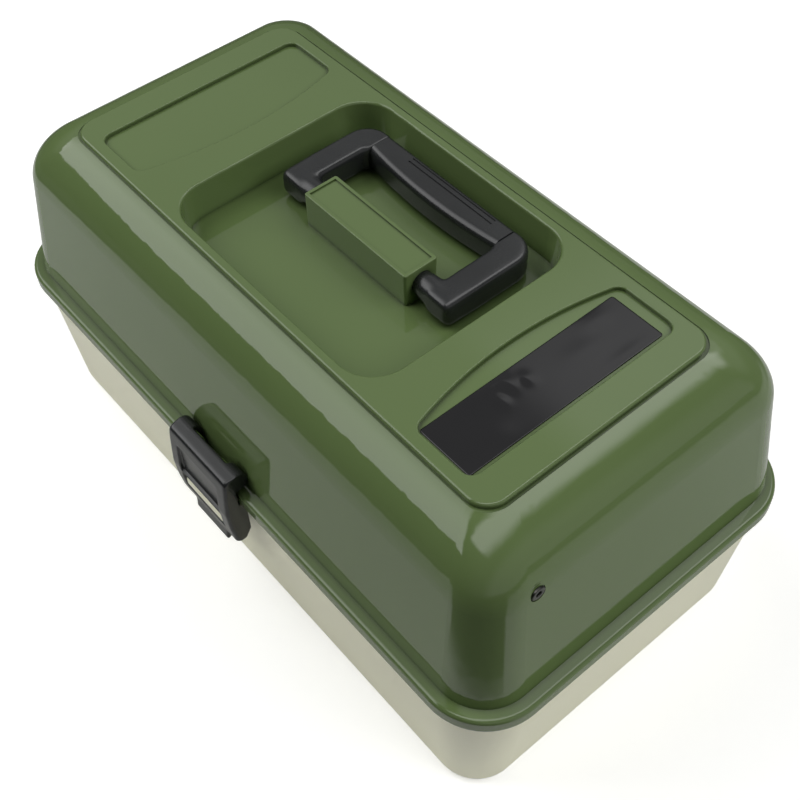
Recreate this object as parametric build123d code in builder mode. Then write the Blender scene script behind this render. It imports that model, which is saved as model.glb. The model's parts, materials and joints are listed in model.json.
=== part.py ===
import os
from math import atan, cos, degrees, pi, radians, sin, sqrt, tan

from build123d import *

os.makedirs("parts", exist_ok=True)

# ---------------------------------------------------------------- sizes, mm
# X is the long direction, the latch is at -Y, Z is up, Z = 0 is the table.
height = 162.0            # table to the flat top panel of the lid
wall = 2.5                # wall of the lid and of the base tub

# lid
rim_hx, rim_hy, rim_r = 170.0, 91.6, 28.0      # outer rim, half sizes, corner
skirt_z = 74.5            # lower edge of the rim skirt
ledge_z = 81.3            # flat ledge between the rim and the lid wall
ledge_under = 79.0
foot_hx, foot_hy, foot_r = 164.2, 87.2, 22.0   # foot of the lid wall on the ledge
foot_dy = 1.1             # the ledge is narrower along the hinge side
crown_r0, crown_r1 = 19.0, 9.0                 # plan corner: top of the wall, top level
top_z = 160.6             # shoulder level round the raised panel
draft = 7.0               # lid wall, degrees
shoulder_r = 28.0
panel_hx, panel_hy, panel_r = 133.3, 58.4, 10.0
panel_edge = 1.2

# carrying recess in the lid
rec_hx, rec_hy, rec_r = 66.2, 54.1, 17.0
rec_floor = 145.5
rec_in = 1.5              # the recess floor is this much smaller all round
blk_hx, blk_y0, blk_y1 = 32.3, -7.6, 9.5
lab_x0, lab_x1, lab_mid, lab_hy = 90.0, 119.2, 82.4, 52.3   # label recess
lab_depth = 1.8

# base tub
base_top = 78.6
btop_hx, btop_hy, btop_r = 167.1, 88.7, 25.5
bbot_hx, bbot_hy, bbot_r = 159.6, 83.0, 19.0
floor_t = 2.6
base_edge = 5.0

# rear hinge
hin_y, hin_z, hin_r, hin_pin = 96.2, 74.5, 4.0, 1.5
hin_x = 100.0             # middle of each hinge

# carrying handle
han_y, han_z = 1.0, 154.3                 # pivot line
stub_r, stub_bore = 5.0, 5.08
han_hx, han_in = 53.5, 40.0               # outer and inner half width
han_y0, han_y1 = -4.9, 45.4
han_top, han_bot = 159.3, 146.1
grip_y0 = 33.4
sleeve_x0, sleeve_x1 = -39.0, 39.4

groove_deep, groove_wide = 1.0, 1.4         # round the raised panel

# latch
lat_y, lat_z = -90.7, 87.9                # pivot line
lat_r = 4.95
lat_hx = 20.8
lat_front = -99.0
lat_pin = 1.25
lat_face = [(-96.0, 92.2), (-97.2, 90.8), (-98.2, 81.0), (lat_front, 70.0),   # bowed front, top to bottom
            (-98.3, 58.5), (-96.9, 49.0), (-95.8, 47.4)]

# cantilever linkage, all in the YZ plane
arm_angle, arm_len = 140.681, 85.773      # base pivot to upper tray pivot
arm_by_front, arm_by_rear, arm_bz = 2.0, 62.0, 70.0
low_f = 0.46                              # lower tray pin along the arm
lid_p = (-55.0, 138.0)                    # rivet in the lid end wall
link_q = (34.497, 116.0)                  # lid link pin on the upper tray
arm_x, arm_t, arm_w = 147.3, 1.6, 10.0    # inner face, thickness, width
link_x, link_t, link_w = 150.6, 1.6, 9.0

# trays
tray_hx = 146.5
tray_y0, tray_y1 = -75.0, 73.0
low_z0, low_z1 = 79.4, 107.4
upp_z0, upp_z1 = 108.4, 134.4
tray_t = 1.8
tray_r = 6.0

ux, uz = arm_len * cos(radians(arm_angle)), arm_len * sin(radians(arm_angle))
up_pins = [(by + ux, arm_bz + uz) for by in (arm_by_front, arm_by_rear)]
low_pins = [(by + low_f * ux, arm_bz + low_f * uz) for by in (arm_by_front, arm_by_rear)]


def rounded_prism(z0, hx0, hy0, r0, z1, hx1, hy1, r1):
    with BuildPart() as p:
        with BuildSketch(Plane.XY.offset(z0)):
            RectangleRounded(2 * hx0, 2 * hy0, r0)
        with BuildSketch(Plane.XY.offset(z1)):
            RectangleRounded(2 * hx1, 2 * hy1, r1)
        loft(ruled=True)
    return p.part


def crowned(z0, hx, hy, dy, r0, ztop, rad, r1, r2):
    # drafted wall from z0, then a quarter turn of radius rad in to the level ztop
    a = radians(draft)
    zc = ztop - rad
    zw = zc + rad * sin(a)
    rows = []
    for k in range(13):
        t = a + (pi / 2 - a) * k / 12
        f = k / 12
        rows.append((zc + rad * sin(t), (zw - z0) * tan(a) + rad * (cos(a) - cos(t)), r1 + (r2 - r1) * f * f))
    with BuildPart() as p:
        for group, straight in (([(z0, 0, r0), rows[0]], True), (rows, False)):
            with BuildPart(mode=Mode.PRIVATE) as q:
                for z, i, r in group:
                    with BuildSketch(Plane.XY.offset(z)):
                        with Locations((0, dy)):
                            RectangleRounded(2 * (hx - i), 2 * (hy - i), r)
                loft(ruled=straight)
            add(q.part)
    return p.part


def rod(x0, x1, y, z, r):
    with BuildPart() as p:
        with BuildSketch(Plane.YZ.offset(min(x0, x1))):
            with Locations((y, z)):
                Circle(r)
        extrude(amount=abs(x1 - x0))
    return p.part


def yz_prism(pts, x0, x1):
    with BuildPart() as p:
        with BuildSketch(Plane.YZ.offset(min(x0, x1))):
            with BuildLine():
                Polyline(*pts, close=True)
            make_face()
        extrude(amount=abs(x1 - x0))
    return p.part


def block(x0, x1, y0, y1, z0, z1):
    with BuildPart() as p:
        with Locations(((x0 + x1) / 2, (y0 + y1) / 2, (z0 + z1) / 2)):
            Box(x1 - x0, y1 - y0, z1 - z0)
    return p.part


# ================================================================ base tub
slope_x = (btop_hx - bbot_hx) / base_top
slope_y = (btop_hy - bbot_hy) / base_top
with BuildPart() as base_tub:
    add(rounded_prism(0, bbot_hx, bbot_hy, bbot_r, base_top, btop_hx, btop_hy, btop_r))
    fillet(base_tub.edges().group_by(Axis.Z)[0], base_edge)
    add(rounded_prism(floor_t, bbot_hx + slope_x * floor_t - wall, bbot_hy + slope_y * floor_t - wall,
                      bbot_r - wall, base_top + 1, btop_hx + slope_x - wall,
                      btop_hy + slope_y - wall, btop_r - wall), mode=Mode.SUBTRACT)
    for s in (-1, 1):
        # rear hinge knuckles with webs to the rear wall
        for k0, k1 in ((10.4, 21.0), (-21.0, -10.4)):
            a, b = s * hin_x + k0, s * hin_x + k1
            add(rod(a, b, hin_y, hin_z, hin_r))
            add(yz_prism([(86.6, 56.0), (87.6, 56.0), (hin_y + hin_r, 73.4), (hin_y + hin_r, hin_z),
                          (hin_y - hin_r, hin_z), (hin_y - hin_r, 73.6), (86.6, 73.6)], a, b))
    for s in (-1, 1):
        add(rod(s * hin_x - 22, s * hin_x + 22, hin_y, hin_z, hin_pin + 0.02), mode=Mode.SUBTRACT)

# brackets on the inside of the end walls that carry the tray arms
brackets = {}
for side, s in (("left", -1), ("right", 1)):
    for pos, by in (("front", arm_by_front), ("rear", arm_by_rear)):
        with BuildPart() as br:
            add(rod(s * 149.3, s * 168.0, by, arm_bz, 6.5))
            add(yz_prism([(by - 2, arm_bz), (by + 2, arm_bz), (by + 2, arm_bz - 26), (by - 2, arm_bz - 26)],
                         s * 158.5, s * 168.0))
            add(yz_prism([(by - 2, arm_bz), (by + 2, arm_bz), (by + 2, arm_bz - 14), (by - 2, arm_bz - 14)],
                         s * 150.5, s * 168.0))
            # the back follows the slope of the end wall
            with BuildPart(mode=Mode.PRIVATE) as room:
                add(rounded_prism(floor_t, bbot_hx + slope_x * floor_t - wall, bbot_hy + slope_y * floor_t - wall,
                                  bbot_r - wall, base_top + 1, btop_hx + slope_x - wall,
                                  btop_hy + slope_y - wall, btop_r - wall))
            add(room.part, mode=Mode.INTERSECT)
            add(rod(s * 148.0, s * 155.0, by, arm_bz, 2.52), mode=Mode.SUBTRACT)
        brackets[f"arm_bracket_{pos}_{side}"] = br

# catch rib that shows in the window of the latch
with BuildPart() as catch_rib:
    add(yz_prism([(-84.0, 53.5), (-86.4, 53.5), (-92.6, 56.4), (-94.4, 57.4), (-94.4, 61.6), (-92.6, 63.4),
                  (-86.4, 65.4), (-84.0, 65.4)], -14.0, 14.0))
    add(rounded_prism(0, bbot_hx, bbot_hy, bbot_r, base_top, btop_hx, btop_hy, btop_r), mode=Mode.SUBTRACT)

# ================================================================ lid
foot0 = (ledge_z - ledge_under) * tan(radians(draft))
shell_out = crowned(ledge_under, foot_hx + foot0, foot_hy + foot0, foot_dy, foot_r,
                    top_z, shoulder_r, crown_r0, crown_r1)
with BuildPart() as rim:
    with BuildSketch(Plane.XY.offset(skirt_z)):
        RectangleRounded(2 * rim_hx, 2 * rim_hy, rim_r)
    extrude(amount=ledge_z - skirt_z)
    fillet(rim.edges().group_by(Axis.Z)[-1], 2.0)
with BuildPart() as top_panel:
    with BuildSketch(Plane.XY.offset(top_z - 4)):
        RectangleRounded(2 * panel_hx, 2 * panel_hy, panel_r)
    extrude(amount=height - top_z + 4)
    fillet(top_panel.edges().group_by(Axis.Z)[-1], panel_edge)

in_top = 157.8
with BuildPart() as shell_in:
    add(crowned(ledge_under - 0.5, foot_hx + foot0 - wall, foot_hy + foot0 - wall, foot_dy, foot_r - wall,
                in_top, shoulder_r - wall, crown_r0 - wall, crown_r1 - 1.0))
    add(rounded_prism(rec_floor - wall, rec_hx - rec_in + wall, rec_hy - rec_in + wall, rec_r + 0.5,
                      height, rec_hx + wall, rec_hy + wall, rec_r + 2), mode=Mode.SUBTRACT)
    add(block(-24, 24, -4.9, 6.8, rec_floor - wall - 1, 158.6))
    # the part below the ledge is wider, out to the skirt
    add(rounded_prism(skirt_z - 1, rim_hx - 2.5, rim_hy - 2.5, rim_r - 2.5,
                      ledge_under, rim_hx - 2.5, rim_hy - 2.5, rim_r - 2.5))

with BuildPart() as lid:
    add(shell_out)
    add(rim.part)
    add(top_panel.part)
    # sharp groove round the foot of the raised panel
    with BuildSketch(Plane.XY.offset(top_z - groove_deep)):
        RectangleRounded(2 * (panel_hx + groove_wide), 2 * (panel_hy + groove_wide), panel_r + groove_wide)
        RectangleRounded(2 * panel_hx, 2 * panel_hy, panel_r, mode=Mode.SUBTRACT)
    extrude(amount=groove_deep + 0.4, mode=Mode.SUBTRACT)
    # carrying recess
    add(rounded_prism(rec_floor, rec_hx - rec_in, rec_hy - rec_in, rec_r - 2,
                      height + 1, rec_hx, rec_hy, rec_r), mode=Mode.SUBTRACT)
    rec_edges = lid.edges().filter_by(
        lambda e: abs(e.center().Z - height) < 0.3 and abs(e.center().X) < rec_hx + 2 and abs(e.center().Y) < rec_hy + 1)
    fillet(rec_edges, 1.2)
    # label recesses, an arched side toward the handle
    for s in (-1, 1):
        with BuildSketch(Plane.XY.offset(height)) as lab:
            with BuildLine():
                l1 = Line((s * lab_x0, -lab_hy), (s * lab_x1, -lab_hy))
                l2 = Line((s * lab_x1, -lab_hy), (s * lab_x1, lab_hy))
                l3 = Line((s * lab_x1, lab_hy), (s * lab_x0, lab_hy))
                ThreePointArc((s * lab_x0, lab_hy), (s * lab_mid, 0), (s * lab_x0, -lab_hy))
            make_face()
            fillet(lab.vertices(), 5.0)
        extrude(amount=-lab_depth, mode=Mode.SUBTRACT)
    lab_edges = lid.edges().filter_by(
        lambda e: abs(e.center().Z - height) < 0.05 and 80 < abs(e.center().X) < 121 and abs(e.center().Y) < 53.5)
    fillet(lab_edges, 0.6)
    # block that carries the handle, with a thin border round its top
    with BuildPart(mode=Mode.PRIVATE) as blk:
        with Locations((0, (blk_y0 + blk_y1) / 2, (rec_floor - 1 + height) / 2)):
            Box(2 * blk_hx, blk_y1 - blk_y0, height - rec_floor + 1)
        fillet(blk.edges().filter_by(Axis.Z), 1.2)
        fillet(blk.edges().group_by(Axis.Z)[-1], 0.5)
    add(blk.part)
    add(block(-blk_hx + 1.7, blk_hx - 1.7, blk_y0 + 1.7, blk_y1 - 1.7, height - 0.7, height + 1), mode=Mode.SUBTRACT)
    add(shell_in.part, mode=Mode.SUBTRACT)
    for s in (-1, 1):
        add(rod(s * (blk_hx - 6.2), s * (blk_hx + 1), han_y, han_z, stub_bore), mode=Mode.SUBTRACT)
        # seat of the lid link on the end wall
        add(rod(s * 152.5, s * 156.2, lid_p[0], lid_p[1], 4.6))
        add(rod(s * 150.0, s * 162.0, lid_p[0], lid_p[1], 2.02), mode=Mode.SUBTRACT)
        add(rod(s * 156.6, s * 162.0, lid_p[0], lid_p[1], 3.5), mode=Mode.SUBTRACT)
        # hinge knuckle of the lid
        add(rod(s * hin_x - 10.0, s * hin_x + 10.0, hin_y, hin_z, hin_r))
        add(yz_prism([(90.2, 74.9), (96.2, 70.6), (96.2, 78.4), (90.2, 80.9)], s * hin_x - 10.0, s * hin_x + 10.0))
        add(rod(s * hin_x - 22, s * hin_x + 22, hin_y, hin_z, hin_pin + 0.05), mode=Mode.SUBTRACT)
        # lugs on the ledge for the latch pin
        add(rod(s * 7.0, s * 12.0, lat_y, lat_z, 3.0))
        add(yz_prism([(lat_y + 0.6, ledge_z - 1.5), (lat_y + 2.6, ledge_z - 1.5), (lat_y + 1.4, lat_z - 2.4),
                      (lat_y - 2.4, lat_z - 1.8), (lat_y + 0.6, ledge_z + 1.6)], s * 7.0, s * 12.0))
        add(rod(s * 6.0, s * 13.0, lat_y, lat_z, lat_pin + 0.06), mode=Mode.SUBTRACT)

# ================================================================ label
with BuildPart() as label:
    with BuildSketch(Plane.XY.offset(height - lab_depth)):
        with Locations(((91.0 + 117.4) / 2, -2.2)):
            RectangleRounded(117.4 - 91.0, 98.0, 1.2)
    extrude(amount=0.3)

# ================================================================ handle
with BuildPart() as handle_frame:
    with BuildSketch(Plane.XY.offset(han_bot)) as plan:
        with Locations((0, (han_y0 + han_y1) / 2)):
            Rectangle(2 * han_hx, han_y1 - han_y0)
        fillet(plan.vertices().group_by(Axis.Y)[-1], 11.5)
        fillet(plan.vertices().group_by(Axis.Y)[0], 2.5)
        with BuildSketch(mode=Mode.PRIVATE) as hole:
            with Locations((0, (han_y0 - 5 + grip_y0) / 2)):
                Rectangle(2 * han_in, grip_y0 - han_y0 + 5)
            fillet(hole.vertices().group_by(Axis.Y)[-1], 4.0)
        add(hole.sketch, mode=Mode.SUBTRACT)
    extrude(amount=han_top - han_bot)
    fillet(handle_frame.edges().group_by(Axis.Z)[-1], 2.6)
    fillet(handle_frame.edges().group_by(Axis.Z)[0], 2.6)
    # the ends are rounded about the pivot so that they pass over the recess floor
    end_cut = block(-han_hx - 1, han_hx + 1, han_y0 - 2, han_y, han_bot - 1, han_z)
    add(end_cut - rod(-han_hx - 2, han_hx + 2, han_y, han_z, 8.1), mode=Mode.SUBTRACT)
    # the grip bar is slimmer where the sleeve goes
    add(block(sleeve_x0, sleeve_x1, grip_y0 - 8, han_y1 + 2, han_bot - 1, han_top + 1), mode=Mode.SUBTRACT)
    add(block(sleeve_x0 - 1, sleeve_x1 + 1, 36.6, 42.6, 149.8, 155.8))
    # pivot stubs
    for s in (-1, 1):
        add(rod(s * (blk_hx - 5.8), s * (han_in + 3), han_y, han_z, stub_r))
        add(rod(s * (blk_hx + 0.4), s * (han_in + 3), han_y, han_z - 0.3, 5.2))

with BuildPart() as handle_grip:
    with BuildSketch(Plane.XY.offset(han_bot)) as gplan:
        with BuildLine():
            Line((sleeve_x0, han_y1), (sleeve_x1, han_y1))
            Line((sleeve_x1, han_y1), (sleeve_x1, grip_y0 - 0.2))
            ThreePointArc((sleeve_x1, grip_y0 - 0.2), (0, 30.3), (sleeve_x0, grip_y0 - 0.2))
            Line((sleeve_x0, grip_y0 - 0.2), (sleeve_x0, han_y1))
        make_face()
    extrude(amount=han_top - han_bot)
    fillet(handle_grip.edges().filter_by(
        lambda e: abs(e.center().X) < 5 and (abs(e.center().Z - han_top) < 0.1 or abs(e.center().Z - han_bot) < 0.1)), 3.2)
    add(block(sleeve_x0 - 1, sleeve_x1 + 1, 36.6, 42.6, 149.8, 155.8), mode=Mode.SUBTRACT)
    for gy in (39.9, 42.3):
        add(block(-21.0, 30.5, gy - 0.35, gy + 0.35, han_top - 0.6, han_top + 1), mode=Mode.SUBTRACT)

# ================================================================ latch
with BuildPart() as latch_lever:
    # closed ends beside the lid lugs
    for s in (-1, 1):
        with BuildSketch(Plane.YZ.offset(12.4 if s > 0 else -lat_hx)):
            with Locations((lat_y, lat_z)):
                Circle(lat_r)
            with BuildLine():
                Polyline((lat_y, lat_z + lat_r), *lat_face, (-91.8, 47.4), (-88.6, 52.6), (-88.6, 73.0),
                         (-92.2, 73.0), (-92.2, 82.9), (-86.7, 82.9), (lat_y + 4.4, lat_z - 1.0), close=True)
            make_face()
        extrude(amount=lat_hx - 12.4)
    # roof and front plate between the ends
    with BuildSketch(Plane.YZ.offset(-12.5)):
        with BuildLine():
            Polyline((lat_y + 1.2, lat_z + lat_r - 0.15), (lat_y, lat_z + lat_r), *lat_face, (-94.9, 47.4),
                     (-94.9, lat_z + 1.2), (lat_y - 2.4, lat_z + 3.4), (lat_y + 1.2, lat_z + 3.4), close=True)
        make_face()
    extrude(amount=25.0)
    # hollow back below the rim
    add(block(-18.2, 18.2, -94.9, -80.0, 40.0, 73.6), mode=Mode.SUBTRACT)
    # shallow panel, window and finger lip
    add(block(-14.6, 14.2, lat_front - 1, lat_front + 1.9, 67.4, 84.6), mode=Mode.SUBTRACT)
    add(block(-14.6, 14.2, lat_front - 1, -90.0, 54.8, 65.6), mode=Mode.SUBTRACT)
    add(yz_prism([(-96.9, 48.4), (-94.9, 48.4), (-95.2, 42.8), (-96.4, 42.0), (-97.4, 42.8)], -11.0, 13.0))
    fillet(latch_lever.edges().filter_by(
        lambda e: abs(abs(e.center().X) - lat_hx) < 0.05 and e.center().Y < lat_front + 4.0
        and e.center().Y < -96.0), 1.2)
    add(rod(-19.2, 19.2, lat_y, lat_z, lat_pin + 0.02), mode=Mode.SUBTRACT)

with BuildPart() as latch_pin:
    add(rod(-19.0, 19.0, lat_y, lat_z, lat_pin))

# ================================================================ hinge pins
hinge_pins = {}
for side, s in (("left", -1), ("right", 1)):
    with BuildPart() as hp:
        add(rod(s * hin_x - 21.4, s * hin_x + 21.4, hin_y, hin_z, hin_pin))
        add(rod(s * hin_x + s * 21.3, s * hin_x + s * 22.3, hin_y, hin_z, 2.6))
    hinge_pins[side] = hp

# ================================================================ trays
def divider(x0, x1, y0, y1, z0, z1):
    # thin plate with softened top edges
    with BuildPart() as d:
        add(block(x0, x1, y0, y1, z0, z1))
        fillet(d.edges().group_by(Axis.Z)[-1].filter_by(lambda e: e.length > 3), 0.4)
    return d


def tray(z0, z1, pins, extra):
    with BuildPart() as t:
        with BuildSketch(Plane.XY.offset(z0)):
            with Locations((0, (tray_y0 + tray_y1) / 2)):
                RectangleRounded(2 * tray_hx, tray_y1 - tray_y0, tray_r)
        extrude(amount=z1 - z0)
        fillet(t.edges().group_by(Axis.Z)[0], 2.0)
        with BuildSketch(Plane.XY.offset(z0 + tray_t)):
            with Locations((0, (tray_y0 + tray_y1) / 2)):
                RectangleRounded(2 * (tray_hx - tray_t), tray_y1 - tray_y0 - 2 * tray_t, tray_r - 2.4)
        extrude(amount=z1 - z0, mode=Mode.SUBTRACT)
        for y, z in pins + extra:
            for s in (-1, 1):
                add(rod(s * (tray_hx - 3), s * (tray_hx + 3), y, z, 2.02), mode=Mode.SUBTRACT)
    return t


def dividers(name, z0, z1, long_ribs, cross):
    # long plates run from end wall to end wall, short ones stand between them
    lo, hi = z0 + tray_t, z1 - 1.6
    end = tray_hx - tray_t
    out = {}
    for i, ry in enumerate(long_ribs):
        out[f"{name}_divider_long_{i + 1}"] = divider(-end, end, ry - 0.7, ry + 0.7, lo, hi)
    for i, (x, ya, yb) in enumerate(cross):
        out[f"{name}_divider_short_{i + 1}"] = divider(x - 0.7, x + 0.7, ya, yb, lo, hi)
    return out


f0, f1 = tray_y0 + tray_t, tray_y1 - tray_t
upper_tray = tray(upp_z0, upp_z1, up_pins, [link_q])
lower_tray = tray(low_z0, low_z1, low_pins, [])
plates = dividers("upper", upp_z0, upp_z1, [-26.0, 22.0],
                  [(x, f0, -26.7) for x in (-74.0, 0.0, 74.0)]
                  + [(x, -25.3, 21.3) for x in (-49.0, 49.0)]
                  + [(0.0, 22.7, f1)])
plates.update(dividers("lower", low_z0, low_z1, [-22.0],
                       [(x, f0, -22.7) for x in (-60.0, 60.0)]
                       + [(0.0, -21.3, f1)]))

# ================================================================ arms and links
def strip(s, x, t, w, p0, p1, holes):
    mid = ((p0[0] + p1[0]) / 2, (p0[1] + p1[1]) / 2)
    length = sqrt((p1[0] - p0[0]) ** 2 + (p1[1] - p0[1]) ** 2)
    ang = degrees(atan((p1[1] - p0[1]) / (p1[0] - p0[0])))
    with BuildPart() as a:
        with BuildSketch(Plane.YZ.offset(x if s > 0 else -x - t)):
            with Locations(mid):
                SlotCenterToCenter(length, w, rotation=ang)
            for (y, z), r in holes:
                with Locations((y, z)):
                    Circle(r, mode=Mode.SUBTRACT)
        extrude(amount=t)
        fillet(a.edges().filter_by(lambda e: e.length > w * 0.9), 0.3)
    return a


arms, links, rivets = {}, {}, {}
for side, s in (("left", -1), ("right", 1)):
    for i, (pos, by) in enumerate((("front", arm_by_front), ("rear", arm_by_rear))):
        open_pin = 0.28 if pos == "front" else 0.08
        arms[f"{pos}_arm_{side}"] = strip(s, arm_x, arm_t, arm_w, (by, arm_bz), up_pins[i],
                                          [((by, arm_bz), 2.58), (low_pins[i], 2.0 + open_pin), (up_pins[i], 2.0 + open_pin)])
        # base rivet: head toward the tray side, shank into the boss
        with BuildPart() as rv:
            add(rod(s * 146.3, s * 147.2, by, arm_bz, 4.4))
            add(rod(s * 147.2, s * 154.6, by, arm_bz, 2.5))
            fillet(rv.edges().group_by(Axis.X)[0 if s > 0 else -1], 0.4)
        rivets[f"base_rivet_{pos}_{side}"] = rv
        for name, (y, z) in (("lower", low_pins[i]), ("upper", up_pins[i])):
            with BuildPart() as rv:
                add(rod(s * 143.7, s * 144.6, y, z, 3.2))
                add(rod(s * 144.0, s * 149.1, y, z, 2.0))
                add(rod(s * 149.02, s * 149.9, y, z, 3.9))
                add(rod(s * 146.52, s * 147.2, y, z, 3.4))
                fillet(rv.edges().group_by(Axis.X)[-1 if s > 0 else 0], 0.4)
            rivets[f"{name}_rivet_{pos}_{side}"] = rv
    links[f"lid_link_{side}"] = strip(s, link_x, link_t, link_w, link_q, lid_p, [(link_q, 2.66), (lid_p, 2.08)])
    with BuildPart() as rv:
        y, z = link_q
        add(rod(s * 143.7, s * 144.6, y, z, 3.2))
        add(rod(s * 144.0, s * 152.5, y, z, 2.0))
        add(rod(s * 146.52, s * 150.4, y, z, 3.4))
        add(rod(s * 152.4, s * 153.2, y, z, 3.8))
        fillet(rv.edges().group_by(Axis.X)[-1 if s > 0 else 0], 0.4)
    rivets[f"link_rivet_{side}"] = rv
    with BuildPart() as rv:
        y, z = lid_p
        add(rod(s * 149.5, s * 150.45, y, z, 4.0))
        add(rod(s * 149.5, s * 157.1, y, z, 2.0))
        add(rod(s * 156.62, s * 157.6, y, z, 3.1))
        add(rod(s * 155.7, s * 157.9, y, z, 1.3), mode=Mode.SUBTRACT)
        fillet(rv.edges().group_by(Axis.X)[-1 if s > 0 else 0], 0.35)
    rivets[f"lid_rivet_{side}"] = rv

# ================================================================ export
base_tub.part.label = "base_tub"
export_step(base_tub.part, "parts/base_tub.step")
catch_rib.part.label = "catch_rib"
export_step(catch_rib.part, "parts/catch_rib.step")
lid.part.label = "lid"
export_step(lid.part, "parts/lid.step")
label.part.label = "label_sticker"
export_step(label.part, "parts/label_sticker.step")
handle_frame.part.label = "handle_frame"
export_step(handle_frame.part, "parts/handle_frame.step")
handle_grip.part.label = "handle_grip"
export_step(handle_grip.part, "parts/handle_grip.step")
latch_lever.part.label = "latch_lever"
export_step(latch_lever.part, "parts/latch_lever.step")
latch_pin.part.label = "latch_pin"
export_step(latch_pin.part, "parts/latch_pin.step")
lower_tray.part.label = "lower_tray"
export_step(lower_tray.part, "parts/lower_tray.step")
upper_tray.part.label = "upper_tray"
export_step(upper_tray.part, "parts/upper_tray.step")
for side, piece in hinge_pins.items():
    piece.part.label = f"hinge_pin_{side}"
    export_step(piece.part, f"parts/hinge_pin_{side}.step")
for group in (brackets, plates, arms, links, rivets):
    for name, piece in group.items():
        piece.part.label = name
        export_step(piece.part, f"parts/{name}.step")
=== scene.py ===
import json
import math

import bmesh
import bpy
from mathutils import Matrix, Vector


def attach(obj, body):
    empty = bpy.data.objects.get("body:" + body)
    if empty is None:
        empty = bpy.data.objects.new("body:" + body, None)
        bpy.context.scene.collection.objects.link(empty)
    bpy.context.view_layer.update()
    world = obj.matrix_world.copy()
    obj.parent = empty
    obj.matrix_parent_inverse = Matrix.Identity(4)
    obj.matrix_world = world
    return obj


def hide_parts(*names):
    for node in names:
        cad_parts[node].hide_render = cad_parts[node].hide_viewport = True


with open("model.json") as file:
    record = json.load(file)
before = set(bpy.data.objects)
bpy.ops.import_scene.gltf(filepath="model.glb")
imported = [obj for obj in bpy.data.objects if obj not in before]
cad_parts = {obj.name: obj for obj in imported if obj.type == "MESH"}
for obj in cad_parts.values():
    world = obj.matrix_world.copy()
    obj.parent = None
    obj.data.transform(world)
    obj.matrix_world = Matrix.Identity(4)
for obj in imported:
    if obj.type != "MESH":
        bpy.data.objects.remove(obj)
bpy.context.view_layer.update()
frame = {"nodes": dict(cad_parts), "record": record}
scene = bpy.context.scene
MM = 0.001


# ------------------------------------------------------------------ materials
def srgb(r, g, b):
    def lin(v):
        v /= 255.0
        return v / 12.92 if v <= 0.04045 else ((v + 0.055) / 1.055) ** 2.4
    return (lin(r), lin(g), lin(b), 1.0)


class Mat:
    """Small helper round a node tree."""

    def __init__(self, name):
        self.m = bpy.data.materials.new(name)
        self.m.use_nodes = True
        self.t = self.m.node_tree
        self.n = self.t.nodes
        self.l = self.t.links
        self.bsdf = self.n["Principled BSDF"]
        self.co = self.n.new("ShaderNodeTexCoord")

    def set(self, **kw):
        names = {"rough": "Roughness", "metal": "Metallic", "ior": "IOR", "spec": "Specular IOR Level",
                 "coat": "Coat Weight", "coat_rough": "Coat Roughness", "sss": "Subsurface Weight",
                 "sss_scale": "Subsurface Scale", "sss_radius": "Subsurface Radius", "color": "Base Color",
                 "aniso": "Anisotropic", "sheen": "Sheen Weight"}
        for k, v in kw.items():
            self.bsdf.inputs[names[k]].default_value = v
        return self

    def noise(self, scale, detail=2.0, rough=0.5, vec=None, stretch=None):
        nz = self.n.new("ShaderNodeTexNoise")
        nz.inputs["Scale"].default_value = scale
        nz.inputs["Detail"].default_value = detail
        nz.inputs["Roughness"].default_value = rough
        src = vec or self.co.outputs["Object"]
        if stretch:
            mp = self.n.new("ShaderNodeMapping")
            mp.inputs["Scale"].default_value = stretch
            self.l.new(src, mp.inputs["Vector"])
            src = mp.outputs["Vector"]
        self.l.new(src, nz.inputs["Vector"])
        return nz.outputs["Fac"]

    def ramp(self, fac, stops, interp="LINEAR"):
        r = self.n.new("ShaderNodeValToRGB")
        r.color_ramp.interpolation = interp
        el = r.color_ramp.elements
        while len(el) < len(stops):
            el.new(0.5)
        for e, (p, c) in zip(el, stops):
            e.position = p
            e.color = c if len(c) == 4 else (*c, 1.0)
        self.l.new(fac, r.inputs["Fac"])
        return r.outputs["Color"]

    def mix(self, fac, a, b, blend="MIX"):
        mx = self.n.new("ShaderNodeMix")
        mx.data_type = "RGBA"
        mx.blend_type = blend
        for sock, v in ((mx.inputs["Factor"], fac), (mx.inputs["A"], a), (mx.inputs["B"], b)):
            if hasattr(v, "is_linked") or hasattr(v, "links"):
                self.l.new(v, sock)
            else:
                sock.default_value = v
        return mx.outputs["Result"]

    def math(self, op, a, b=0.0, clamp=False):
        mt = self.n.new("ShaderNodeMath")
        mt.operation = op
        mt.use_clamp = clamp
        for sock, v in ((mt.inputs[0], a), (mt.inputs[1], b)):
            if hasattr(v, "links"):
                self.l.new(v, sock)
            else:
                sock.default_value = v
        return mt.outputs[0]

    def bump(self, height, strength=0.2, distance=0.001, normal=None):
        b = self.n.new("ShaderNodeBump")
        b.inputs["Strength"].default_value = strength
        b.inputs["Distance"].default_value = distance
        self.l.new(height, b.inputs["Height"])
        if normal is not None:
            self.l.new(normal, b.inputs["Normal"])
        return b.outputs["Normal"]

    def to(self, sock, out):
        self.l.new(out, self.bsdf.inputs[sock])
        return self


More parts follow.
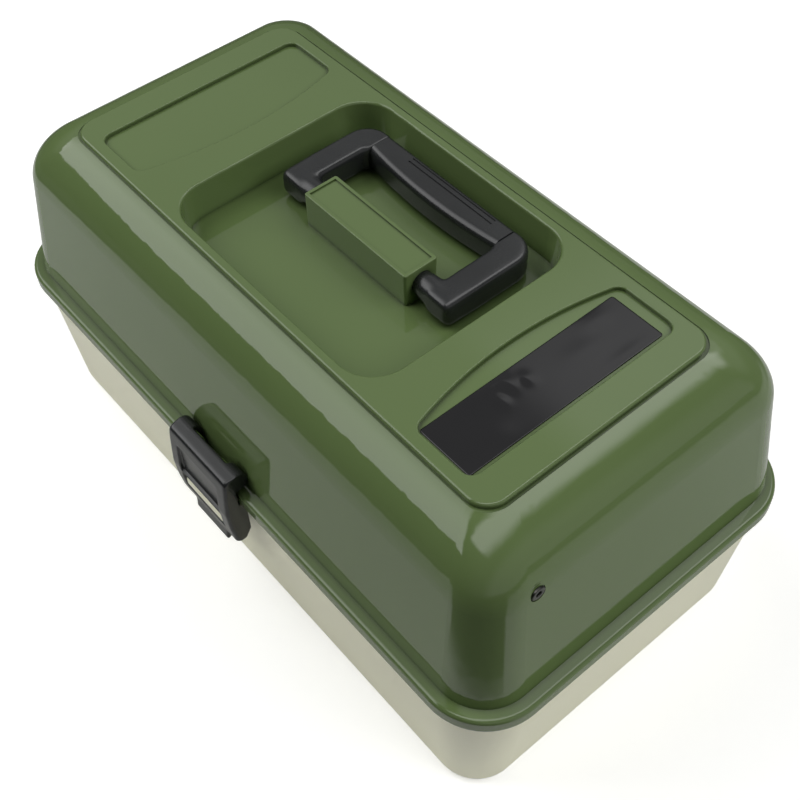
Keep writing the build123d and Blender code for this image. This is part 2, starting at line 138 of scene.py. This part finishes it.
def lid_green():
    k = Mat("lid_green").set(rough=0.04, ior=1.5)
    cloud = k.noise(7.0, 3.0)
    col = k.ramp(cloud, [(0.30, (0.110, 0.163, 0.057, 1)), (0.70, (0.120, 0.176, 0.063, 1))])
    # painted shade: the base colour is darkened to as little as 35% in grooves, creases and recess edges where ambient
    # occlusion finds nearby surfaces
    crease_shade_ao = k.n.new("ShaderNodeAmbientOcclusion")
    crease_shade_ao.samples = 6
    crease_shade_ao.inputs["Distance"].default_value = 0.0035
    painted_crease_shade = k.ramp(crease_shade_ao.outputs["AO"], [(0.35, (0.35, 0.35, 0.35, 1)), (0.85, (1, 1, 1, 1))])
    k.to("Base Color", k.mix(1.0, col, painted_crease_shade, "MULTIPLY"))
    # long, very shallow sink and flow waves, and a fine orange peel
    wave = k.noise(14.0, 1.0, stretch=(0.5, 1.0, 1.0))
    peel = k.noise(900.0, 2.0)
    n1 = k.bump(wave, 0.25, 0.0012)
    n2 = k.bump(peel, 0.03, 0.0002, n1)
    k.to("Normal", n2)
    return k.m


def beige(name, tone):
    k = Mat(name).set(rough=0.28, ior=1.5)
    cloud = k.noise(9.0, 3.0)
    a = tuple(c * 0.97 for c in tone)
    b = tuple(c * 1.03 for c in tone)
    k.to("Base Color", k.ramp(cloud, [(0.3, (*a, 1)), (0.7, (*b, 1))]))
    n1 = k.bump(k.noise(18.0, 1.0), 0.2, 0.001)
    k.to("Normal", k.bump(k.noise(1600.0, 2.0), 0.06, 0.0002, n1))
    return k.m


def black_plastic(name, rough=0.24):
    k = Mat(name).set(rough=rough, ior=1.5)
    k.to("Base Color", k.ramp(k.noise(40.0, 3.0), [(0.3, (0.013, 0.014, 0.0145, 1)), (0.7, (0.019, 0.0205, 0.021, 1))]))
    n1 = k.bump(k.noise(60.0, 2.0), 0.15, 0.0006)
    k.to("Normal", k.bump(k.noise(1500.0, 2.0), 0.15, 0.0002, n1))
    return k.m


def label_film():
    k = Mat("label_film").set(rough=0.06, ior=1.5)
    k.to("Base Color", k.ramp(k.noise(30.0, 2.0), [(0.3, (0.004, 0.004, 0.005, 1)), (0.7, (0.007, 0.007, 0.008, 1))]))
    return k.m


def zinc():
    k = Mat("zinc_steel").set(rough=0.35, metal=1.0)
    k.to("Base Color", k.ramp(k.noise(80.0, 3.0), [(0.3, (0.50, 0.49, 0.46, 1)), (0.7, (0.62, 0.61, 0.58, 1))]))
    k.to("Normal", k.bump(k.noise(500.0, 3.0, stretch=(1, 0.15, 1)), 0.2, 0.0002))
    return k.m


def dark_steel():
    k = Mat("dark_eyelet").set(rough=0.32, metal=1.0)
    k.to("Base Color", k.ramp(k.noise(300.0, 3.0), [(0.3, (0.045, 0.045, 0.042, 1)), (0.7, (0.12, 0.12, 0.11, 1))]))
    k.to("Normal", k.bump(k.noise(900.0, 2.0), 0.25, 0.0002))
    return k.m


GREEN = lid_green()
BODY = beige("body_beige", (0.92, 0.91, 0.69))
TRAY = beige("tray_beige", (0.90, 0.89, 0.675))
BLACK = black_plastic("black_plastic")
FILM = label_film()
ZINC = zinc()
DARK = dark_steel()

by_slot = {"lid_green": GREEN, "body_beige": BODY, "tray_beige": TRAY, "black_plastic": BLACK,
           "label_black": FILM, "zinc_steel": ZINC}
slot_of = {s["node"]: s["material_slot"] for s in frame["record"]["subparts"]}
for name, obj in frame["nodes"].items():
    mat = by_slot[slot_of[name]]
    if not obj.material_slots:
        obj.data.materials.append(mat)
    for ms in obj.material_slots:
        ms.material = mat

# ------------------------------------------------------------------ soft moulded pieces
def link(ob):
    scene.collection.objects.link(ob)
    return ob


def apply_mods(ob):
    dg = bpy.context.evaluated_depsgraph_get()
    new = bpy.data.meshes.new_from_object(ob.evaluated_get(dg))
    ob.modifiers.clear()
    ob.data = new
    return ob


def turned(bm, rings, x_axis_at, seg=40):
    """Closed turned body: rings of (x, radius) about a line parallel to X through (y, z)."""
    y, z = x_axis_at
    loops = []
    for x, r in rings:
        loops.append([bm.verts.new((x, y + r * math.cos(2 * math.pi * i / seg), z + r * math.sin(2 * math.pi * i / seg)))
                      for i in range(seg)])
    for p, q in zip(loops, loops[1:]):
        for i in range(seg):
            j = (i + 1) % seg
            bm.faces.new((p[i], p[j], q[j], q[i]))
    bm.faces.new(list(reversed(loops[0])))
    bm.faces.new(loops[-1])
    return loops


def node_mesh(bm, node, skip=None):
    src = bmesh.new()
    src.from_mesh(frame["nodes"][node].data)
    bmesh.ops.triangulate(src, faces=src.faces)
    vm = {}
    for v in src.verts:
        vm[v.index] = bm.verts.new(v.co)
    for f_ in src.faces:
        try:
            bm.faces.new([vm[v.index] for v in f_.verts])
        except ValueError:
            pass
    src.free()


def soften(name, bm, voxel, rounds, material, body, nodes, factor=0.5, extra=None):
    bmesh.ops.remove_doubles(bm, verts=bm.verts, dist=1e-6)
    bmesh.ops.recalc_face_normals(bm, faces=bm.faces)
    me = bpy.data.meshes.new(name)
    bm.to_mesh(me)
    bm.free()
    ob = link(bpy.data.objects.new(name, me))
    rm = ob.modifiers.new("skin", "REMESH")
    rm.mode, rm.voxel_size, rm.adaptivity = "VOXEL", voxel, 0.0
    sm = ob.modifiers.new("soft", "SMOOTH")
    sm.factor, sm.iterations = factor, rounds
    apply_mods(ob)
    if extra:
        weight, more = extra
        vg = ob.vertex_groups.new(name="ends")
        for v in ob.data.vertices:
            q = weight(v.co)
            if q > 0.0:
                vg.add([v.index], q, "REPLACE")
        sm = ob.modifiers.new("ends", "SMOOTH")
        sm.factor, sm.iterations, sm.vertex_group = 0.5, more, "ends"
        apply_mods(ob)
        ob.vertex_groups.clear()
    for p in ob.data.polygons:
        p.use_smooth = True
    ob.data.materials.clear()
    ob.data.materials.append(material)
    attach(ob, body)
    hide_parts(*nodes)
    return ob


# handle: arms run into fat round stubs, everything in one moulded skin
bm = bmesh.new()
node_mesh(bm, "handle_frame")
PIV = (0.0010, 0.1539)
for s_ in (-1, 1):
    ring = [(0.0330, 0.0046), (0.0337, 0.0055), (0.0350, 0.0059), (0.0395, 0.0059), (0.0450, 0.0054), (0.0490, 0.0048)]
    pts = [(s_ * x, r) for x, r in ring]
    if s_ > 0:
        turned(bm, pts, PIV)
    else:
        turned(bm, list(reversed(pts)), PIV)
soften("handle_arms", bm, 0.00055, 12, BLACK, "handle", ["handle_frame"],
       extra=(lambda c: min(1.0, max(0.0, (0.0125 - c.y) / 0.009)), 60))

# latch: one softly rounded moulding
bm = bmesh.new()
node_mesh(bm, "latch_lever")
soften("latch_body", bm, 0.00040, 9, BLACK, "latch", ["latch_lever"],
       extra=(lambda c: min(1.0, max(0.0, (c.z - 0.0882) / 0.0015)) * min(1.0, max(0.0, (-0.0920 - c.y) / 0.0015)), 26))

# catch: moulded bar of the base that stands in the window of the latch
bm = bmesh.new()
prof = [(-0.0866, 0.0540), (-0.0925, 0.0558), (-0.0964, 0.0569), (-0.0975, 0.0573), (-0.0980, 0.0580), (-0.0981, 0.0604),
        (-0.0980, 0.0622), (-0.0975, 0.0629), (-0.0964, 0.0633), (-0.0925, 0.0641), (-0.0866, 0.0653)]
xs = [(-0.0134, 0.80), (-0.0132, 0.95), (-0.0127, 1.0)] + [(-0.0127 + 0.0254 * i / 24, 1.0) for i in range(1, 24)] + \
     [(0.0127, 1.0), (0.0132, 0.95), (0.0134, 0.80)]
cy, cz = -0.0866, 0.0598
loops = [[bm.verts.new((x, cy + (y - cy) * (0.9 + 0.1 * q), cz + (z - cz) * q)) for y, z in prof] for x, q in xs]
for p_, q_ in zip(loops, loops[1:]):
    for i in range(len(prof)):
        j = (i + 1) % len(prof)
        bm.faces.new((p_[i], p_[j], q_[j], q_[i]))
bm.faces.new(list(reversed(loops[0])))
bm.faces.new(loops[-1])
bmesh.ops.recalc_face_normals(bm, faces=bm.faces)
me = bpy.data.meshes.new("catch_bar")
bm.to_mesh(me)
bm.free()
catch = link(bpy.data.objects.new("catch_bar", me))
bv = catch.modifiers.new("edge", "BEVEL")
bv.width, bv.segments, bv.limit_method, bv.angle_limit = 0.0002, 2, "ANGLE", math.radians(28)
apply_mods(catch)
for p in catch.data.polygons:
    p.use_smooth = True
catch.data.materials.clear()
catch.data.materials.append(BODY)
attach(catch, "base")
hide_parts("catch_rib")

# label: thin film with a few shallow bubbles, flattened towards its edge
LX0, LX1, LY0, LY1, LZ, LT = 0.0911, 0.1173, -0.0511, 0.0467, 0.16021, 0.00028
blisters = [(0.0965, -0.0125, 0.0042, 0.0036, 0.00026), (0.0985, -0.0060, 0.0034, 0.0030, 0.00020), (0.0935, -0.0190, 0.0026, 0.0060, 0.00020),
            (0.1000, -0.0200, 0.0034, 0.0026, 0.00014), (0.1035, 0.0185, 0.0050, 0.0100, 0.00012), (0.1120, -0.0330, 0.0060, 0.0080, 0.00010),
            (0.1150, 0.0300, 0.0030, 0.0100, 0.00012), (0.0955, 0.0330, 0.0040, 0.0070, 0.00014)]
bm = bmesh.new()
NX, NY, RC = 66, 196, 0.0012
top, low = [], []
for j in range(NY + 1):
    rt, rl = [], []
    for i in range(NX + 1):
        fx, fy = i / NX, j / NY
        x, y = LX0 + (LX1 - LX0) * fx, LY0 + (LY1 - LY0) * fy
        # round the four corners of the film
        ex, ey = min(x - LX0, LX1 - x), min(y - LY0, LY1 - y)
        if ex < RC and ey < RC:
            vx, vy = RC - ex, RC - ey
            d = max(vx, vy) / math.hypot(vx, vy)
            nx_, ny_ = RC - vx * d, RC - vy * d
            x = LX0 + nx_ if x - LX0 < RC else LX1 - nx_
            y = LY0 + ny_ if y - LY0 < RC else LY1 - ny_
        h = 0.0
        for bx, by, sx, sy, hh in blisters:
            q = ((x - bx) / sx) ** 2 + ((y - by) / sy) ** 2
            h += hh * math.exp(-q)
        edge = min(1.0, min(x - LX0, LX1 - x, y - LY0, LY1 - y) / 0.0012 + 0.25)
        rt.append(bm.verts.new((x, y, LZ + LT + max(h, 0.0) * edge)))
        rl.append(bm.verts.new((x, y, LZ)))
    top.append(rt)
    low.append(rl)
for j in range(NY):
    for i in range(NX):
        bm.faces.new((top[j][i], top[j][i + 1], top[j + 1][i + 1], top[j + 1][i]))
        bm.faces.new((low[j][i], low[j + 1][i], low[j + 1][i + 1], low[j][i + 1]))
rim = [(0, i) for i in range(NX)] + [(j, NX) for j in range(NY)] + [(NY, i) for i in range(NX, 0, -1)] + [(j, 0) for j in range(NY, 0, -1)]
for a_, b_ in zip(rim, rim[1:] + rim[:1]):
    bm.faces.new((top[a_[0]][a_[1]], low[a_[0]][a_[1]], low[b_[0]][b_[1]], top[b_[0]][b_[1]]))
bmesh.ops.recalc_face_normals(bm, faces=bm.faces)
me = bpy.data.meshes.new("label_sheet")
bm.to_mesh(me)
bm.free()
for p in me.polygons:
    p.use_smooth = abs(p.normal.z) > 0.5
lab = link(bpy.data.objects.new("label_sheet", me))
lab.data.materials.append(FILM)
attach(lab, "lid")
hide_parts("label_sticker")

# lid rivets are dark hollow eyelets
for nm in ("lid_rivet_left", "lid_rivet_right"):
    for ms in frame["nodes"][nm].material_slots:
        ms.material = DARK

# ------------------------------------------------------------------ stage
scene.view_settings.view_transform = "Standard"


class Nodes:
    """Shorthand for a field worked out with math nodes."""

    def __init__(self, tree):
        self.t, self.n, self.l = tree, tree.nodes, tree.links

    def put(self, sock, v):
        if hasattr(v, "links"):
            self.l.new(v, sock)
        else:
            sock.default_value = v

    def op(self, name, a, b=0.0, clamp=False):
        m = self.n.new("ShaderNodeMath")
        m.operation, m.use_clamp = name, clamp
        self.put(m.inputs[0], a)
        self.put(m.inputs[1], b)
        return m.outputs[0]

    def step(self, v, lo, hi):
        m = self.n.new("ShaderNodeMapRange")
        m.interpolation_type = "SMOOTHSTEP"
        self.put(m.inputs["Value"], v)
        m.inputs["From Min"].default_value = lo
        m.inputs["From Max"].default_value = hi
        return m.outputs["Result"]

    def window(self, v, lo, hi, soft):
        up = self.step(v, lo - soft, lo + soft)
        down = self.op("SUBTRACT", 1.0, self.step(v, hi - soft, hi + soft))
        return self.op("MULTIPLY", up, down)

    def mul(self, *vs):
        out = vs[0]
        for v in vs[1:]:
            out = self.op("MULTIPLY", out, v)
        return out

    def add(self, *vs):
        out = vs[0]
        for v in vs[1:]:
            out = self.op("ADD", out, v)
        return out


# what the gloss sees: two large soft boxes over a dim room
world = bpy.data.worlds.new("studio")
scene.world = world
world.use_nodes = True
w = Nodes(world.node_tree)
bg = w.n["Background"]
tc = w.n.new("ShaderNodeTexCoord")
sep = w.n.new("ShaderNodeSeparateXYZ")
w.l.new(tc.outputs["Generated"], sep.inputs[0])
X, Y, Z = sep.outputs
up = w.step(Z, 0.0, 0.08)
zz = w.op("MAXIMUM", Z, 0.02)
U, V = w.op("DIVIDE", X, zz), w.op("DIVIDE", Y, zz)


def fall(v, lo, hi):
    return w.op("SUBTRACT", 1.0, w.step(v, lo, hi))


left_box = w.mul(w.window(U, -1.70, -0.27, 0.04), w.step(V, -1.62, -1.50), fall(V, -0.50, 0.35), up, 2.7)
right_box = w.mul(w.step(U, -0.16, -0.04), fall(U, 0.20, 0.56), w.step(V, -0.66, -0.50), fall(V, 0.95, 1.30), up, 2.7)
room_right = w.mul(w.step(X, 0.55, 0.80), w.step(Z, 0.06, 0.09), 0.36)
back_left = w.mul(w.step(w.op("SUBTRACT", Y, X), 0.1, 0.6), w.step(Z, 0.2, 0.5), 0.33)
front_left = w.mul(w.step(w.op("SUBTRACT", w.op("MULTIPLY", X, -1.0), Y), 0.3, 0.9), -0.09)
back_glow = w.mul(w.step(U, -0.72, -0.50), fall(U, -0.10, 0.10), w.step(V, 0.56, 0.63), fall(V, 1.3, 1.6), up, 0.62)
gloss = w.add(0.13, left_box, right_box, room_right, back_left, back_glow, front_left)
# what lights the matt part of the surfaces besides the lamps
fill = w.add(0.06, w.mul(w.step(Y, -0.2, 0.8), 0.18), w.mul(w.step(X, 0.1, -0.9), 0.08))
paths = w.n.new("ShaderNodeLightPath")
is_gloss, is_cam = paths.outputs["Is Glossy Ray"], paths.outputs["Is Camera Ray"]
total = w.add(fill, w.mul(is_gloss, w.op("SUBTRACT", gloss, fill)), w.mul(is_cam, w.op("SUBTRACT", 1.0, fill)))
w.l.new(total, bg.inputs["Strength"])
bg.inputs["Color"].default_value = (1.0, 1.0, 1.0, 1.0)


def lamp(name, az, el, dist, size, power):
    data = bpy.data.lights.new(name, "AREA")
    data.shape, data.size, data.energy = "SQUARE", size, power
    ob = bpy.data.objects.new(name, data)
    scene.collection.objects.link(ob)
    a, e = math.radians(az), math.radians(el)
    way = Vector((math.sin(a) * math.cos(e), -math.cos(a) * math.cos(e), math.sin(e)))
    ob.location = way * dist + Vector((0, 0, 0.08))
    ob.rotation_euler = way.to_track_quat("Z", "Y").to_euler()
    ob.visible_glossy = False
    ob.visible_camera = False
    return ob


lamp("soft_left", -55, 46, 1.6, 1.3, 18.0)
lamp("soft_right", 125, 46, 1.6, 1.3, 15.5)

me = bpy.data.meshes.new("floor")
bm = bmesh.new()
R0, RINGS, SEG = 4.0, 24, 96
prev = None
centre = bm.verts.new((0, 0, 0))
for i in range(1, RINGS + 1):
    rr = R0 * (i / RINGS) ** 2
    ring = [bm.verts.new((rr * math.cos(2 * math.pi * j / SEG), rr * math.sin(2 * math.pi * j / SEG), 0)) for j in range(SEG)]
    for j in range(SEG):
        k = (j + 1) % SEG
        if prev is None:
            bm.faces.new((centre, ring[j], ring[k]))
        else:
            bm.faces.new((prev[j], ring[j], ring[k], prev[k]))
    prev = ring
bm.to_mesh(me)
bm.free()
floor = bpy.data.objects.new("floor", me)
scene.collection.objects.link(floor)
fm = bpy.data.materials.new("floor_pale")
fm.use_nodes = True
f = Nodes(fm.node_tree)
f.n.remove(f.n["Principled BSDF"])
geo = f.n.new("ShaderNodeNewGeometry")
fs = f.n.new("ShaderNodeSeparateXYZ")
f.l.new(geo.outputs["Position"], fs.inputs[0])
FX, FY = fs.outputs[0], fs.outputs[1]
# for reflected rays the floor is darker in a sector on the camera side and past about half a metre except towards +X;
# for bounced light it is darker in a wider sector; the camera sees an even pale tone plus a glow that is weaker close
# to the box
dx, dy = f.op("SUBTRACT", FX, 0.13), f.op("SUBTRACT", FY, -0.06)
azim = f.op("ARCTAN2", dx, f.op("MULTIPLY", dy, -1.0))
dist = f.op("SQRT", f.op("ADD", f.op("MULTIPLY", FX, FX), f.op("MULTIPLY", FY, FY)))
sector = f.window(azim, math.radians(-14), math.radians(78), math.radians(2.5))
far = f.mul(f.step(dist, 0.49, 0.54), f.op("SUBTRACT", 1.0, f.step(FX, 0.1, 0.4)))
mirror = f.op("SUBTRACT", 0.66, f.mul(sector, 0.58, f.step(f.op("SQRT", f.add(f.mul(dx, dx), f.mul(dy, dy))), 0.10, 0.13)))
mirror = f.op("MAXIMUM", f.op("SUBTRACT", mirror, f.mul(far, 0.58)), 0.05)
wide = f.window(azim, math.radians(-10), math.radians(74), math.radians(14))
off = f.op("SQRT", f.add(f.mul(dx, dx), f.mul(dy, dy)))
bounce = f.op("SUBTRACT", 0.88, f.mul(wide, 0.78, f.step(off, 0.08, 0.17)))
lp = f.n.new("ShaderNodeLightPath")
seen_gloss, seen_cam = lp.outputs["Is Glossy Ray"], lp.outputs["Is Camera Ray"]
tone = f.add(bounce, f.mul(seen_gloss, f.op("SUBTRACT", mirror, bounce)), f.mul(seen_cam, f.op("SUBTRACT", 0.93, bounce)))
near_col = f.n.new("ShaderNodeCombineColor")
for i in range(3):
    f.l.new(tone, near_col.inputs[i])
matt = f.n.new("ShaderNodeBsdfDiffuse")
f.l.new(near_col.outputs[0], matt.inputs["Color"])
glow = f.n.new("ShaderNodeEmission")
f.l.new(f.mul(seen_cam, f.op("ADD", 0.38, f.mul(f.step(dist, 0.40, 2.2), 0.62))), glow.inputs["Strength"])
both = f.n.new("ShaderNodeAddShader")
f.l.new(matt.outputs[0], both.inputs[0])
f.l.new(glow.outputs[0], both.inputs[1])
f.l.new(both.outputs[0], f.n["Material Output"].inputs["Surface"])
floor.data.materials.append(fm)

# ------------------------------------------------------------------ camera
cam_data = bpy.data.cameras.new("camera")
cam = bpy.data.objects.new("camera", cam_data)
scene.collection.objects.link(cam)
scene.camera = cam
cam.location = (0.29022, -0.21797, 0.50761)
cam.rotation_euler = (0.667477, 0.023152, 0.868192)
cam_data.lens = 55.336
cam_data.sensor_width = 36.0
cam_data.clip_start = 0.01
